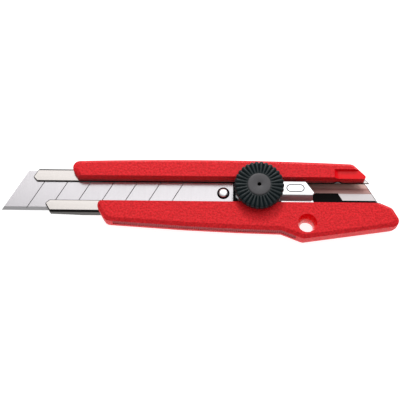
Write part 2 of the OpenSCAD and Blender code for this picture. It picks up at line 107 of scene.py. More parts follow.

# Oval frame stamped into the slider's top, in mm: its span in X, its reach in Y, and the
# depths between which it lies. The flanks in painted shade start FLANK_DEPTH below the top.
STAMP_START_X = 36.0
STAMP_END_X = 45.0
STAMP_REACH_Y = 1.8
STAMP_DEPTHS = (0.02, 0.3)
FLANK_DEPTH = 0.4

# Lock wheel, in mm: radii of its hub's bore, of the collar under it, of its cap's seat and
# of the cap's centre hole. The grooves between its ridges start at a radius and end at a
# height over its underside, and the scallops take up a width of its rim.
HUB_BORE = 3.7
COLLAR_RADIUS = 6.2
CAP_SEAT_RADIUS = 4.97
CAP_HOLE_RADIUS = 0.8
GROOVE_START = 5.5
GROOVE_FOOT = 0.7
SCALLOP_WIDTH = 1.3

# The wheel is made of copies of one ridge, with half a groove on each side. A groove is
# given by pairs: how far out from the ridge's crest, as a share of half its width, and the
# share of the full depth there. Points within SAME_LINE ridge widths are on the same line.
GROOVE_SHAPE = ((1.0, 1.0), (0.75, 0.6), (0.5, 0.15))
STEPS_PER_RIDGE = 8
SAME_LINE = 0.02

# A mixing node for colours has them at these inputs and at this output, because its inputs
# for numbers and for vectors come first and have the same names.
MIX_FROM = 6
MIX_TO = 7
MIX_RESULT = 2

# Studio, in metres: the light table, which stays clear of the knife's back by a gap, and the
# size and place of the two lamps over it.
TABLE_SIZE = 2.0
TABLE_GAP = 0.1 * MM
PANEL_SIZE = (0.7, 0.4)
PANEL_PLACE = (0.1, 0.28, 0.52)
KEY_SIZE = (0.14, 0.14)
KEY_PLACE = (-0.05, 0.62, 0.5)

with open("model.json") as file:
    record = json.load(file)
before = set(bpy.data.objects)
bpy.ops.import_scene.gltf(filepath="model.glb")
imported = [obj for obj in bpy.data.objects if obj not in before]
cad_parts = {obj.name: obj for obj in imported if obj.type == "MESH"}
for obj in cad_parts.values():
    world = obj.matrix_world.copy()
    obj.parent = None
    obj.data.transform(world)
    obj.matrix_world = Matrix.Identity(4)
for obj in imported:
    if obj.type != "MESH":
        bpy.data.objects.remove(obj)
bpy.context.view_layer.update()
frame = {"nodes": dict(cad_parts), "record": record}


# ---------------------------------------------------------------------------
# Settings


class KnifeShapeSettings(bpy.types.PropertyGroup):
    """How softly the edges of the pieces are rounded, and the wheel's ridges."""

    moulding_edge: bpy.props.FloatProperty(
        name="Moulding edge",
        description="Rounding along the edges of the red moulding",
        default=0.45 * MM,
        min=0.05 * MM,
        max=0.6 * MM,
        precision=5,
        unit="LENGTH",
        subtype="DISTANCE",
    )
    sheet_edge: bpy.props.FloatProperty(
        name="Sheet edge",
        description="Rounding along the cut edges of the steel channel",
        default=0.34 * MM,
        min=0.02 * MM,
        max=0.4 * MM,
        precision=5,
        unit="LENGTH",
        subtype="DISTANCE",
    )
    casting_edge: bpy.props.FloatProperty(
        name="Casting edge",
        description="Rounding along the edges of the plated slider",
        default=0.18 * MM,
        min=0.02 * MM,
        max=0.3 * MM,
        precision=5,
        unit="LENGTH",
        subtype="DISTANCE",
    )
    ridge_count: bpy.props.IntProperty(
        name="Ridges",
        description="Number of ridges round the lock wheel",
        default=30,
        min=12,
        max=48,
    )
    ridge_depth: bpy.props.FloatProperty(
        name="Ridge depth",
        description="Depth of the grooves between the ridges of the lock wheel",
        default=0.55 * MM,
        min=0.1 * MM,
        max=1.0 * MM,
        precision=5,
        unit="LENGTH",
        subtype="DISTANCE",
    )
    scallop_depth: bpy.props.FloatProperty(
        name="Scallop depth",
        description="How far the wheel's rim draws in between two ridges",
        default=0.45 * MM,
        min=0.1 * MM,
        max=1.0 * MM,
        precision=5,
        unit="LENGTH",
        subtype="DISTANCE",
    )


class KnifeFinishSettings(bpy.types.PropertyGroup):
    """Colours of the finishes, as sRGB hex values."""

    moulding: bpy.props.StringProperty(
        name="Moulding", description="Red plastic of the handle", default="F81C28"
    )
    grip: bpy.props.StringProperty(
        name="Grip strip", description="Softer red plastic of the grip", default="A8262E"
    )
    wheel: bpy.props.StringProperty(
        name="Lock wheel", description="Black plastic of the lock wheel", default="0C1A1D"
    )
    # The cap's grey is a painted sheen: lighter than the wheel, for the light its flat face
    # gives back.
    wheel_cap: bpy.props.StringProperty(
        name="Wheel cap", description="Grey plastic of the wheel's cap", default="424043"
    )
    liner: bpy.props.StringProperty(
        name="Channel liner", description="Black nylon in the channel", default="050506"
    )
    steel: bpy.props.StringProperty(
        name="Steel", description="Polished steel of the channel", default="B8B3B0"
    )
    blade: bpy.props.StringProperty(
        name="Blade", description="Ground steel of the blade", default="B9B6B9"
    )
    chrome: bpy.props.StringProperty(
        name="Chrome", description="Chrome plating of the slider", default="E2E2E4"
    )
    # The sheared colour is partly the dull grey of cut steel and partly painted shade on the
    # channel's outer walls.
    sheared: bpy.props.StringProperty(
        name="Sheared edge", description="Dark edge of sheared sheet steel", default="45423F"
    )
    brass: bpy.props.StringProperty(
        name="Brass", description="Brass of the nut and of the spring's rivets", default="D9B45C"
    )


class KnifeStageSettings(bpy.types.PropertyGroup):
    """Camera, floor and lights."""

    camera_tilt: bpy.props.FloatProperty(
        name="Camera tilt",
        description="Angle of the line of sight from straight down",
        default=math.radians(20.5),
        unit="ROTATION",
        subtype="ANGLE",
    )
    camera_roll: bpy.props.FloatProperty(
        name="Camera roll",
        description="Turn of the camera about its line of sight",
        default=math.radians(0.57),
        unit="ROTATION",
        subtype="ANGLE",
    )
    camera_distance: bpy.props.FloatProperty(
        name="Camera distance",
        description="Distance from the camera to the middle of the view",
        default=0.477,
        unit="LENGTH",
        subtype="DISTANCE",
    )
    camera_lens: bpy.props.FloatProperty(
        name="Camera lens",
        description="Focal length of the camera in mm",
        default=100.0,
        unit="CAMERA",
    )
    view_centre: bpy.props.FloatVectorProperty(
        name="View centre",
        description="The point that the camera looks at",
        default=(0.0, -3.7 * MM, 6.3 * MM),
        unit="LENGTH",
        subtype="XYZ",
    )
    surround: bpy.props.FloatProperty(
        name="Surround",
        description="Brightness of the white room round the knife",
        default=0.42,
        min=0.0,
    )
    panel_power: bpy.props.FloatProperty(
        name="Panel light",
        description="Power in watts of the large panel behind the knife",
        default=1.3,
        min=0.0,
    )
    key_power: bpy.props.FloatProperty(
        name="Key light",
        description="Power in watts of the smaller lamp that casts the soft shadows",
        default=2.4,
        min=0.0,
    )
    floor_glow: bpy.props.FloatProperty(
        name="Floor glow",
        description="Brightness of the light table that the knife lies on",
        default=0.9,
        min=0.0,
    )


# ---------------------------------------------------------------------------
# Modelling helpers


def only(obj):
    """Makes obj the active and only selected object, in object mode."""
    if bpy.context.object is not None and bpy.context.object.mode != "OBJECT":
        bpy.ops.object.mode_set(mode="OBJECT")
    bpy.ops.object.select_all(action="DESELECT")
    obj.select_set(True)
    bpy.context.view_layer.objects.active = obj


def edit(obj):
    """Opens obj in edit mode with its whole mesh selected."""
    only(obj)
    bpy.ops.object.mode_set(mode="EDIT")
    bpy.ops.mesh.select_mode(type="VERT")
    bpy.ops.mesh.select_all(action="SELECT")


def tidy(obj):
    """Joins points that lie together and turns every face outwards."""
    edit(obj)
    bpy.ops.mesh.remove_doubles(threshold=JOIN_DISTANCE)
    bpy.ops.mesh.normals_make_consistent(inside=False)
    bpy.ops.object.mode_set(mode="OBJECT")


def new_object(name, data):
    """Puts a mesh, a light or a camera in the scene as an object at the origin."""
    obj = bpy.data.objects.new(name, data)
    bpy.context.scene.collection.objects.link(obj)
    return obj


def mount_place(name):
    """The place of one of the knife's mounts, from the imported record."""
    for mount in frame["record"]["mounts"]:
        if mount["name"] == name:
            return Vector(mount["pos_m"])
    raise KeyError(name)


def middle(node):
    """The upright axis through the middle of a CAD part, as a point at height zero."""
    low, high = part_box(node)
    return Vector(((low.x + high.x) / 2, (low.y + high.y) / 2, 0.0))


def copy_of(node, name):
    """A copy of a CAD part with its loose triangles joined into whole faces."""
    obj = new_object(name, frame["nodes"][node].data.copy())
    obj.data.materials.clear()
    edit(obj)
    bpy.ops.mesh.customdata_custom_splitnormals_clear()
    bpy.ops.mesh.remove_doubles(threshold=JOIN_DISTANCE)
    bpy.ops.mesh.dissolve_limited(angle_limit=FLAT_WITHIN)
    bpy.ops.mesh.normals_make_consistent(inside=False)
    bpy.ops.object.mode_set(mode="OBJECT")
    return obj


def soften(obj, width, segments, from_angle, keep_clear=True):
    """Rounds every edge that is sharper than an angle, and smooths the rest.

    keep_clear makes all roundings narrower where two of them would meet.
    """
    bevel = obj.modifiers.new("Soft edges", "BEVEL")
    bevel.width = width
    bevel.segments = segments
    bevel.limit_method = "ANGLE"
    bevel.angle_limit = from_angle
    bevel.miter_outer = "MITER_ARC"
    bevel.use_clamp_overlap = keep_clear
    only(obj)
    bpy.ops.object.modifier_apply(modifier=bevel.name)
    bpy.ops.object.shade_smooth_by_angle(angle=SMOOTH_BELOW)
    shading = obj.modifiers.new("Flat faces", "WEIGHTED_NORMAL")
    shading.keep_sharp = True
    bpy.ops.object.modifier_apply(modifier=shading.name)


def select_points(obj, wanted):
    """Selects the points for which wanted(place) holds, and leaves obj in edit mode."""
    edit(obj)
    bpy.ops.mesh.select_all(action="DESELECT")
    bpy.ops.object.mode_set(mode="OBJECT")
    for point in obj.data.vertices:
        point.select = wanted(point.co)
    bpy.ops.object.mode_set(mode="EDIT")


def new_outline(name, points):
    """A line drawn from point to point.

    A small plate is merged into one point, moved to the start and extruded along the line.
    """
    bpy.ops.object.select_all(action="DESELECT")
    bpy.ops.mesh.primitive_plane_add(size=MM)
    obj = bpy.context.object
    obj.name = obj.data.name = name
    edit(obj)
    bpy.ops.mesh.merge(type="CENTER")
    bpy.ops.transform.translate(value=points[0])
    for start, end in zip(points, points[1:]):
        bpy.ops.mesh.extrude_vertices_move(
            TRANSFORM_OT_translate={"value": end - start}
        )
    return obj


def half_section(name, profile, centre, turn):
    """Half section of a turned part, as (radius, height) pairs in mm, stood at an angle.

    It is closed unless it starts on the axis.
    """
    points = [
        centre
        + Vector((radius * math.cos(turn), radius * math.sin(turn), height)) * MM
        for radius, height in profile
    ]
    obj = new_outline(name, points)
    if profile[0][0] > 0:
        ends = (points[0], points[-1])
        select_points(
            obj, lambda place: min((place - end).length for end in ends) < JOIN_DISTANCE
        )
        bpy.ops.mesh.edge_face_add()
        bpy.ops.mesh.select_all(action="SELECT")
    return obj


def turned(name, profile, centre, steps):
    """A turned part: its half section spun a full turn round an upright axis."""
    obj = half_section(name, profile, centre, 0.0)
    edit(obj)
    bpy.ops.mesh.spin(steps=steps, angle=FULL_TURN, center=centre, axis=(0, 0, 1))
    tidy(obj)
    bpy.ops.object.shade_smooth_by_angle(angle=SMOOTH_BELOW)
    return obj


def paint(obj, *finishes):
    """Gives obj its finishes: the first all over, and each later one where its test holds.

    Each later finish is a pair of a material and a test of a face's place and direction.
    """
    base, *others = finishes
    obj.data.materials.clear()
    obj.data.materials.append(base)
    for index, (material, wanted) in enumerate(others, start=1):
        obj.data.materials.append(material)
        for face in obj.data.polygons:
            if wanted(face.center, face.normal):
                face.material_index = index


def coat(node, material):
    """Gives a CAD part a finish, held by its object and not by its mesh."""
    obj = frame["nodes"][node]
    if not obj.material_slots:
        obj.data.materials.append(None)
    for slot in obj.material_slots:
        slot.link = "OBJECT"
        slot.material = material


def stand_in(obj, body, slot, *nodes):
    """Lets obj move with a body and stand for CAD parts. slot is not used."""
    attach(obj, body)
    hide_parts(*nodes)


# ---------------------------------------------------------------------------
# Material helpers


def linear(code):
    """A colour with alpha in linear light, from an sRGB hex value."""
    channels = [int(code[i : i + 2], 16) / 255 for i in (0, 2, 4)]
    return tuple(
        c / 12.92 if c <= 0.04045 else ((c + 0.055) / 1.055) ** 2.4 for c in channels
    ) + (1.0,)


def cells(size):
    """Scale of a pattern whose cells have a size in mm."""
    return 1.0 / (size * MM)


def fill_inputs(material, node, inputs):
    """Sets a node's inputs to values, or links them to the outputs of other nodes."""
    for name, value in inputs.items():
        if isinstance(value, bpy.types.NodeSocket):
            material.node_tree.links.new(value, node.inputs[name])
        else:
            node.inputs[name].default_value = value


def add_node(material, kind, inputs=None, **settings):
    """Adds a shader node with its settings, and fills its inputs with values or links."""
    node = material.node_tree.nodes.new(kind)
    for name, value in settings.items():
        setattr(node, name, value)
    fill_inputs(material, node, inputs or {})
    return node


def shade(material, inputs):
    """Fills the inputs of a material's own shader with values or links."""
    fill_inputs(material, material.node_tree.nodes["Principled BSDF"], inputs)


def new_material(name, inputs):
    """A material whose shader has its inputs set."""
    material = bpy.data.materials.new(name)
    material.use_nodes = True
    shade(material, inputs)
    return material


def place_on_piece(material, stretch=(1.0, 1.0, 1.0)):
    """The place on the piece in metres, stretched along its axes."""
    place = add_node(material, "ShaderNodeTexCoord")
    mapping = add_node(
        material,
        "ShaderNodeMapping",
        {"Vector": place.outputs["Object"], "Scale": stretch},
    )
    return mapping.outputs["Vector"]


def bump(material, height, strength, depth):
    """Raises a material's surface by a height pattern with a depth in mm."""
    node = add_node(
        material,
        "ShaderNodeBump",
        {"Strength": strength, "Distance": depth * MM, "Height": height},
    )
    shade(material, {"Normal": node.outputs["Normal"]})


def finish_colour(name):
    """A colour of the finish settings in linear light."""
    return linear(getattr(bpy.context.scene.knife_finish, name))


# ---------------------------------------------------------------------------
# Finishes. Each is made the first time that it is asked for, and reused later.


@functools.cache
def grained_red_plastic():
    """Moulded plastic with a fine leather grain: it breaks up the light into small specks."""
    material = new_material(
        "Grained red plastic",
        {
            "Roughness": 0.5,
            "IOR": 1.47,
            "Specular IOR Level": 0.25,
        },
    )
    # A moulded grain is finer than this, and is drawn as coarse as it needs to show.
    grain = add_node(
        material,
        "ShaderNodeTexNoise",
        {
            "Vector": place_on_piece(material),
            "Scale": cells(0.85),
            "Detail": 3.0,
            "Roughness": 0.6,
        },
    )
    crests = add_node(
        material,
        "ShaderNodeMapRange",
        {"Value": grain.outputs["Fac"], "From Min": 0.36, "From Max": 0.64},
    )
    tone = add_node(
        material,
        "ShaderNodeMix",
        {
            "Factor": crests.outputs["Result"],
            MIX_FROM: linear("D00814"),
            MIX_TO: finish_colour("moulding"),
        },
        data_type="RGBA",
    )
    shade(material, {"Base Color": tone.outputs[MIX_RESULT]})
    bump(material, crests.outputs["Result"], strength=1.0, depth=0.09)
    return material


@functools.cache
def smooth_red_plastic():
    """Polished part of the mould: the thumb recess and the hanging hole look wet and deep."""
    return new_material(
        "Smooth red plastic",
        {
            "Base Color": linear("F40616"),
            "Roughness": 0.25,
            "IOR": 1.47,
            "Specular IOR Level": 0.2,
        },
    )


@functools.cache
def soft_red_grip():
    """Softer red plastic: duller and browner than the moulding, as rubber is."""
    material = new_material(
        "Soft red grip",
        {
            "Base Color": finish_colour("grip"),
            "Roughness": 0.6,
            "IOR": 1.5,
            "Specular IOR Level": 0.3,
        },
    )
    wear = add_node(
        material,
        "ShaderNodeTexNoise",
        {"Vector": place_on_piece(material), "Scale": cells(0.4), "Detail": 2.0},
    )
    bump(material, wear.outputs["Fac"], strength=0.3, depth=0.05)
    return material


@functools.cache
def polished_channel_steel():
    """Bright rolled steel: faint lengthwise lines make its reflections run along the knife."""
    material = new_material(
        "Polished channel steel",
        {
            "Base Color": finish_colour("steel"),
            "Metallic": 1.0,
        },
    )
    # Rolling lines are a few hundredths of a mm apart, and are drawn coarser so that they show.
    lines = add_node(
        material,
        "ShaderNodeTexNoise",
        {
            "Vector": place_on_piece(material, stretch=(0.02, 1.0, 1.0)),
            "Scale": cells(0.3),
            "Detail": 4.0,
        },
    )
    rough = add_node(
        material,
        "ShaderNodeMapRange",
        {"Value": lines.outputs["Fac"], "To Min": 0.1, "To Max": 0.2},
    )
    shade(material, {"Roughness": rough.outputs["Result"]})
    bump(material, lines.outputs["Fac"], strength=0.15, depth=0.01)
    return material


@functools.cache
def floor_painted_reflection():
    """Floor of the channel: brown streaks over half its width are a painted reflection of the
    red rail and its painted shade, and the steel is less metallic there.
    """
    material = new_material("Channel floor with painted reflection", {"Roughness": 0.28})
    place = add_node(material, "ShaderNodeSeparateXYZ", {"Vector": place_on_piece(material)})
    across = add_node(
        material,
        "ShaderNodeMapRange",
        {
            "Value": place.outputs["Y"],
            "From Min": REFLECTION_BAND_EDGE_Y * MM,
            "From Max": (REFLECTION_BAND_EDGE_Y + REFLECTION_BAND_WIDTH) * MM,
        },
    )
    bare = add_node(
        material,
        "ShaderNodeMapRange",
        {
            "Value": across.outputs["Result"],
            "From Max": REFLECTION_BAND_FADE,
            "To Min": 1.0,
            "To Max": 0.25,
        },
    )
    shade(material, {"Metallic": bare.outputs["Result"]})
    # Brown streaks across the floor: a painted reflection of the red rail and painted shade.
    painted_band = add_node(material, "ShaderNodeValToRGB", {"Fac": across.outputs["Result"]})
    for share, code in REFLECTION_BAND_COLOURS:
        stop = painted_band.color_ramp.elements.new(share)
        stop.color = linear(code)
    painted_band.color_ramp.elements.remove(painted_band.color_ramp.elements[0])
    shade(material, {"Base Color": painted_band.outputs["Color"]})
    return material


@functools.cache
def sheared_steel_and_shade():
    """Cut edges and outer walls of the steel channel: rough and dark, partly as cut steel is and
    partly as painted shade, so they outline the bright faces.
    """
    return new_material(
        "Sheared steel and painted shade",
        {
            "Base Color": finish_colour("sheared"),
            "Metallic": 1.0,
            "Roughness": 0.42,
        },
    )


@functools.cache
def rolled_edge_painted_shade():
    """Rolled edges and lip ends of the channel: painted near black as painted shade, so they
    outline the bright lips.
    """
    return new_material(
        "Rolled edge with painted shade",
        {"Base Color": linear("1C1A1A"), "Metallic": 1.0, "Roughness": 0.5},
    )


@functools.cache
def ground_blade_steel():
    """Face of the blade: grinding lines across it blur what it mirrors into a satin shine."""
    material = new_material(
        "Ground blade steel",
        {
            "Base Color": finish_colour("blade"),
            "Metallic": 1.0,
        },
    )
    # Grinding lines are a few hundredths of a mm apart, and are drawn coarser so that they show.
    lines = add_node(
        material,
        "ShaderNodeTexNoise",
        {
            "Vector": place_on_piece(material, stretch=(1.0, 0.03, 1.0)),
            "Scale": cells(0.2),
            "Detail": 3.0,
        },
    )
    rough = add_node(
        material,
        "ShaderNodeMapRange",
        {"Value": lines.outputs["Fac"], "To Min": 0.16, "To Max": 0.28},
    )
    shade(material, {"Roughness": rough.outputs["Result"]})
    bump(material, lines.outputs["Fac"], strength=0.1, depth=0.01)
    return material


@functools.cache
def honed_edge_steel():
    """Ground bevel of the blade: greyer than the face, with grinding lines across it."""
    material = new_material(
        "Honed edge steel",
        {
            "Base Color": linear("C0BEC0"),
            "Metallic": 1.0,
            "Roughness": 0.35,
        },
    )
    # Grinding lines are a few hundredths of a mm apart, and are drawn coarser so that they show.
    lines = add_node(
        material,
        "ShaderNodeTexNoise",
        {
            "Vector": place_on_piece(material, stretch=(1.0, 0.05, 1.0)),
            "Scale": cells(0.12),
            "Detail": 2.0,
        },
    )
    bump(material, lines.outputs["Fac"], strength=0.1, depth=0.01)
    return material


@functools.cache
def score_lines_painted_shade():
    """Score lines of the blade: dull, and painted dark as painted shade in the grooves."""
    return new_material(
        "Score lines with painted shade",
        {
            "Base Color": linear("6E6A6C"),
            "Metallic": 1.0,
            "Roughness": 0.5,
        },
    )


@functools.cache
def chrome_plating():
    """Chrome on the slider casting: nearly a mirror, softened by the casting under it."""
    material = new_material(
        "Chrome plating",
        {
            "Base Color": finish_colour("chrome"),
            "Metallic": 1.0,
            "Roughness": 0.08,
        },
    )
    waves = add_node(
        material,
        "ShaderNodeTexNoise",
        {"Vector": place_on_piece(material), "Scale": cells(5.0), "Detail": 1.0},
    )
    bump(material, waves.outputs["Fac"], strength=0.1, depth=0.02)
    return material


@functools.cache
def slider_flank_painted_shade():
    """Flanks of the slider casting: dull grey with hardly a reflection, as painted shade, and
    tinted cool against the red light the rail throws on them.
    """
    material = new_material(
        "Slider flank with painted shade",
        {
            "Base Color": linear("9AA8AC"),
            "Roughness": 0.55,
            "IOR": 1.5,
        },
    )
    pits = add_node(
        material,
        "ShaderNodeTexNoise",
        {"Vector": place_on_piece(material), "Scale": cells(0.4), "Detail": 2.0},
    )
    bump(material, pits.outputs["Fac"], strength=0.2, depth=0.03)
    return material


@functools.cache
def stamped_chrome():
    """Stamped oval: matt and darker than the plating round it, so it reads as a line."""
    return new_material(
        "Stamped chrome",
        {
            "Base Color": linear("3C3A3C"),
            "Metallic": 1.0,
            "Roughness": 0.5,
        },
    )


@functools.cache
def black_moulded_plastic():
    """Lock wheel: satin black with a cool tinge, whose ridges catch a soft grey light."""
    material = new_material(
        "Black moulded plastic",
        {
            "Base Color": finish_colour("wheel"),
            "Roughness": 0.42,
            "IOR": 1.5,
            "Specular IOR Level": 0.3,
        },
    )
    grain = add_node(
        material,
        "ShaderNodeTexNoise",
        {"Vector": place_on_piece(material), "Scale": cells(0.3), "Detail": 2.0},
    )
    bump(material, grain.outputs["Fac"], strength=0.25, depth=0.03)
    return material


@functools.cache
def cap_painted_sheen():
    """Cap of the lock wheel: matt, and painted a lighter grey than the wheel round it as a
    painted sheen on its flat face.
    """
    material = new_material(
        "Cap plastic with painted sheen",
        {
            "Base Color": finish_colour("wheel_cap"),
            "Roughness": 0.5,
            "IOR": 1.5,
        },
    )
    grain = add_node(
        material,
        "ShaderNodeTexNoise",
        {"Vector": place_on_piece(material), "Scale": cells(0.5), "Detail": 2.0},
    )
    bump(material, grain.outputs["Fac"], strength=0.15, depth=0.03)
    return material


@functools.cache
def near_black_matt():
    """Liner and guide shoe: near black and matt, giving back hardly any light."""
    return new_material(
        "Black nylon",
        {
            "Base Color": finish_colour("liner"),
            "Roughness": 0.6,
            "IOR": 1.53,
            "Specular IOR Level": 0.1,
        },
    )


@functools.cache
def zinc_plated_steel():
    """Blade pin, plain washer and channel rivets: bright but slightly cloudy plating."""
    material = new_material(
        "Zinc-plated steel",
        {
            "Base Color": linear("E2E2E3"),
            "Metallic": 1.0,
        },
    )
    cloud = add_node(
        material,
        "ShaderNodeTexNoise",
        {"Vector": place_on_piece(material), "Scale": cells(2.5), "Detail": 3.0},
    )
    rough = add_node(
        material,
        "ShaderNodeMapRange",
        {"Value": cloud.outputs["Fac"], "To Min": 0.22, "To Max": 0.38},
    )
    shade(material, {"Roughness": rough.outputs["Result"]})
    return material


@functools.cache
def blued_spring_steel():
    """Leaf spring, spring washer and clip: hardened steel, greyer and cooler than plating."""
    return new_material(
        "Blued spring steel",
        {
            "Base Color": linear("8A8E96"),
            "Metallic": 1.0,
            "Roughness": 0.3,
        },
    )


@functools.cache
def stud_and_carriage_shade():
    """Stud and carriage: painted near black as painted shade, so the openings over them look
    deep.
    """
    return new_material(
        "Stud and carriage in painted shade",
        {"Base Color": linear("121214"), "Metallic": 1.0, "Roughness": 0.5},
    )


@functools.cache
def turned_brass():
    """Nut and spring rivets: warm brass, a little dulled by the marks of the lathe."""
    return new_material(
        "Turned brass",
        {
            "Base Color": finish_colour("brass"),
            "Metallic": 1.0,
            "Roughness": 0.28,
        },
    )


@functools.cache
def light_table_white():
    """Floor: a white sheet lit from below, so the knife's shadows stay pale."""
    return new_material(
        "Light table white",
        {
            "Base Color": linear("B4B4B4"),
            "Roughness": 0.9,
            "Emission Color": (1.0, 1.0, 1.0, 1.0),
            "Emission Strength": bpy.context.scene.knife_stage.floor_glow,
        },
    )


# ---------------------------------------------------------------------------
# Pieces


class KNIFE_OT_handle_moulding(bpy.types.Operator):
    """Red moulding with soft edges, a grained face and a smooth thumb recess"""

    bl_idname = "knife.handle_moulding"
    bl_label = "Handle moulding"

    def execute(self, context):
        moulding = copy_of("handle_body", "handle_moulding")
        soften(
            moulding,
            context.scene.knife_shape.moulding_edge,
            segments=3,
            from_angle=math.radians(30),
        )
        hole = mount_place("hang_hole")

        def in_recess(place, direction):
            within = [
                low * MM < value < high * MM
                for low, value, high in zip(RECESS_LOW, place, RECESS_HIGH)
            ]
            return all(within) and direction.z > FACES_UP

        def in_hole(place, direction):
            across = (place - hole).xy
            return across.length < HOLE_REACH * MM and abs(direction.z) < LEVEL

        paint(
            moulding,
            grained_red_plastic(),
            (smooth_red_plastic(), in_recess),
            (smooth_red_plastic(), in_hole),
        )
        stand_in(moulding, "handle", "red_plastic", "handle_body")
        return {"FINISHED"}


class KNIFE_OT_grip_strip(bpy.types.Operator):
    """Soft grip strip along the lower side, which keeps the CAD part's teeth"""

    bl_idname = "knife.grip_strip"
    bl_label = "Grip strip"

    def execute(self, context):
        coat("grip_strip", soft_red_grip())
        return {"FINISHED"}


class KNIFE_OT_steel_channel(bpy.types.Operator):
    """Steel channel with bright faces, edges dark partly with painted shade, and a floor with a
    painted reflection band
    """

    bl_idname = "knife.steel_channel"
    bl_label = "Steel channel"

    def execute(self, context):
        channel = copy_of("blade_sheath", "steel_channel")
        soften(
            channel,
            context.scene.knife_shape.sheet_edge,
            segments=2,
            from_angle=math.radians(40),
            keep_clear=False,
        )

        # Cut edges and outer walls: dull cut steel, darkened further as painted shade.
        def on_cut(place, direction):
            faces_in = place.y * direction.y < 0 and abs(place.y) > WALL_Y * MM
            return abs(direction.z) < UPRIGHT and not faces_in

        # Rolled edges and lip ends take painted shade.
        def on_rolled_edge(place, direction):
            on_lip = place.z > LIP_Z * MM and place.y * direction.y < 0
            is_lip_end = on_lip and abs(direction.z) < UPRIGHT
            return is_lip_end or UPRIGHT <= direction.z < FLAT

        # The floor takes the band of painted reflection and shade.
        def on_floor(place, direction):
            return direction.z > LEVEL and place.z < FLOOR_BELOW_Z * MM

        paint(
            channel,
            polished_channel_steel(),
            (sheared_steel_and_shade(), on_cut),
            (rolled_edge_painted_shade(), on_rolled_edge),
            (floor_painted_reflection(), on_floor),
        )
        stand_in(channel, "handle", "sheath_steel", "blade_sheath")
        return {"FINISHED"}


class KNIFE_OT_snap_blade(bpy.types.Operator):
    """Blade with ground faces, a honed edge and score lines in painted shade"""

    bl_idname = "knife.snap_blade"
    bl_label = "Snap-off blade"

    def execute(self, context):
        blade = copy_of("blade", "snap_blade")
        low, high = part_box("blade")
        only(blade)
        bpy.ops.object.shade_smooth_by_angle(angle=BLADE_SMOOTH_BELOW)

        def on_edge(place, direction):
            return place.y < low.y + BEVEL_WIDTH * MM and abs(direction.z) > UPRIGHT

        # Score lines take painted shade.
        def in_score(place, direction):
            return (
                place.y > low.y + BEVEL_WIDTH * MM
                and low.z + SCORE_ABOVE * MM < place.z < high.z - SCORE_BELOW * MM
                and direction.z > UPRIGHT
            )

        paint(
            blade,
            ground_blade_steel(),
            (honed_edge_steel(), on_edge),
            (score_lines_painted_shade(), in_score),
        )
        stand_in(blade, "clamp", "blade_steel", "blade")
        return {"FINISHED"}


class KNIFE_OT_blade_pin(bpy.types.Operator):
    """Pin with a domed top that carries the blade"""

    bl_idname = "knife.blade_pin"
    bl_label = "Blade pin"

    def execute(self, context):
        low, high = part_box("blade_peg")
        foot, top = low.z / MM, high.z / MM
        shoulder = foot + PIN_FOOT_HEIGHT
        profile = [
            (0.0, foot),
            (PIN_FOOT_RADIUS, foot),
            (PIN_FOOT_RADIUS, shoulder),
            (PIN_RADIUS, shoulder),
            (PIN_RADIUS, top - 0.42),
            (PIN_RADIUS - 0.07, top - 0.25),
            (PIN_RADIUS - 0.25, top - 0.12),
            (PIN_RADIUS - 0.7, top - 0.04),
            (0.0, top),
        ]
        pin = turned("blade_pin", profile, middle("blade_peg"), steps=48)
        paint(pin, zinc_plated_steel())
        stand_in(pin, "clamp", "plain_steel", "blade_peg")
        return {"FINISHED"}


class KNIFE_OT_slider_casting(bpy.types.Operator):
    """Chrome-plated slider with soft edges, a stamped oval frame and flanks in painted shade"""

    bl_idname = "knife.slider_casting"
    bl_label = "Slider casting"

    def execute(self, context):
        casting = copy_of("slider_body", "slider_casting")
        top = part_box("slider_body")[1].z
        soften(
            casting,
            context.scene.knife_shape.casting_edge,
            segments=3,
            from_angle=math.radians(25),
        )
        stamp_top, stamp_floor = [top - depth * MM for depth in STAMP_DEPTHS]

        def in_stamp(place, direction):
            return (
                STAMP_START_X * MM < place.x < STAMP_END_X * MM
                and abs(place.y) < STAMP_REACH_Y * MM
                and stamp_floor < place.z < stamp_top
            )

        # Flanks take a dull grey as painted shade.
        def on_flank(place, direction):
            return (
                direction.z < SLOPING
                and abs(direction.y) > SIDEWAYS
                and place.z < top - FLANK_DEPTH * MM
            )

        paint(
            casting,
            chrome_plating(),
            (stamped_chrome(), in_stamp),
            (slider_flank_painted_shade(), on_flank),
        )
        stand_in(casting, "slider", "slider_chrome", "slider_body")
        return {"FINISHED"}


